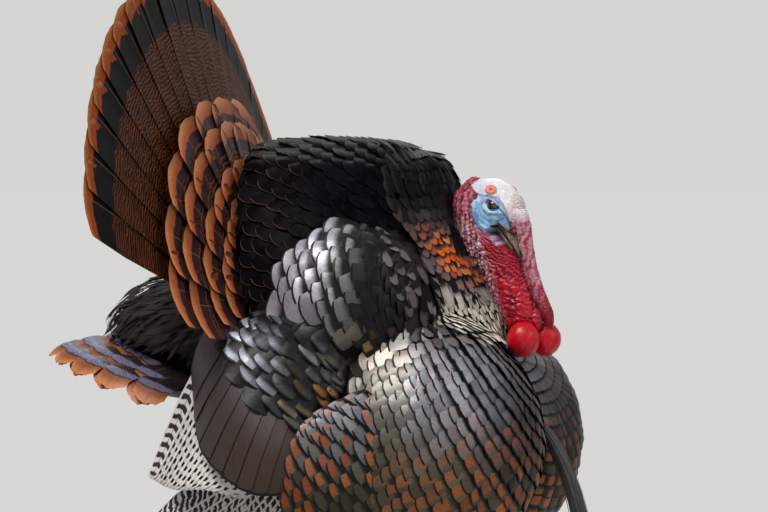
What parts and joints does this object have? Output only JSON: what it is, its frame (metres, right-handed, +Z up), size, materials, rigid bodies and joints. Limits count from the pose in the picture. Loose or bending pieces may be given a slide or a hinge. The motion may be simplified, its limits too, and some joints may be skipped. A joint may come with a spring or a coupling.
{
  "type": "wild turkey",
  "caption": "Life-size still model of a wild turkey gobbler in full strut, with fanned tail, drooped wings, puffed breast and bare coloured head.",
  "frame": {"origin": "on the floor, at the middle of the whole model's box", "axes": "+X the way the bird faces, +Y to its left, +Z up"},
  "size_m": [0.6062, 0.774, 0.7971],
  "materials": {
    "crown_skin": "matte, bumpy",
    "eye": "polished",
    "bill": "satin horn",
    "snood_skin": "satin, wrinkled",
    "wattle_skin": "glossy, wrinkled",
    "neck_plumage": "glossy feather",
    "breast_plumage": "iridescent feather",
    "beard": "coarse bristle",
    "mantle_plumage": "glossy feather",
    "scapular_plumage": "iridescent feather",
    "covert_plumage": "iridescent feather",
    "panel_plumage": "satin feather",
    "secondary_plumage": "matte barred feather",
    "primary_plumage": "matte barred feather",
    "tail_plumage": "satin barred feather",
    "tail_covert_plumage": "satin feather",
    "undertail_plumage": "satin feather",
    "vent_down": "matte down",
    "thigh_plumage": "matte feather",
    "leg_scale": "satin scales",
    "claw": "satin horn"
  },
  "bodies": {
    "root": {"head": "crown_skin", "eye_left": "eye", "eye_right": "eye", "bill_upper": "bill", "bill_lower": "bill", "snood": "snood_skin", "caruncle_left": "wattle_skin", "caruncle_right": "wattle_skin", "neck_bare": "wattle_skin", "neck_feathered": "neck_plumage", "breast_left": "breast_plumage", "breast_right": "breast_plumage", "beard": "beard", "trunk": "mantle_plumage", "wing_left_scapulars": "scapular_plumage", "wing_left_coverts": "covert_plumage", "wing_left_panel": "panel_plumage", "wing_left_secondaries": "secondary_plumage", "wing_left_primaries": "primary_plumage", "wing_right_scapulars": "scapular_plumage", "wing_right_coverts": "covert_plumage", "wing_right_panel": "panel_plumage", "wing_right_secondaries": "secondary_plumage", "wing_right_primaries": "primary_plumage", "tail_fan": "tail_plumage", "tail_upper_coverts": "tail_covert_plumage", "tail_under_coverts": "undertail_plumage", "vent_fluff": "vent_down", "thigh_left": "thigh_plumage", "thigh_right": "thigh_plumage", "shank_left": "leg_scale", "shank_right": "leg_scale", "foot_left": "leg_scale", "foot_right": "leg_scale", "spur_left": "claw", "spur_right": "claw", "claw_left_middle": "claw", "claw_left_inner": "claw", "claw_left_outer": "claw", "claw_left_hind": "claw", "claw_right_middle": "claw", "claw_right_inner": "claw", "claw_right_outer": "claw", "claw_right_hind": "claw"}
  },
  "joints": []
}
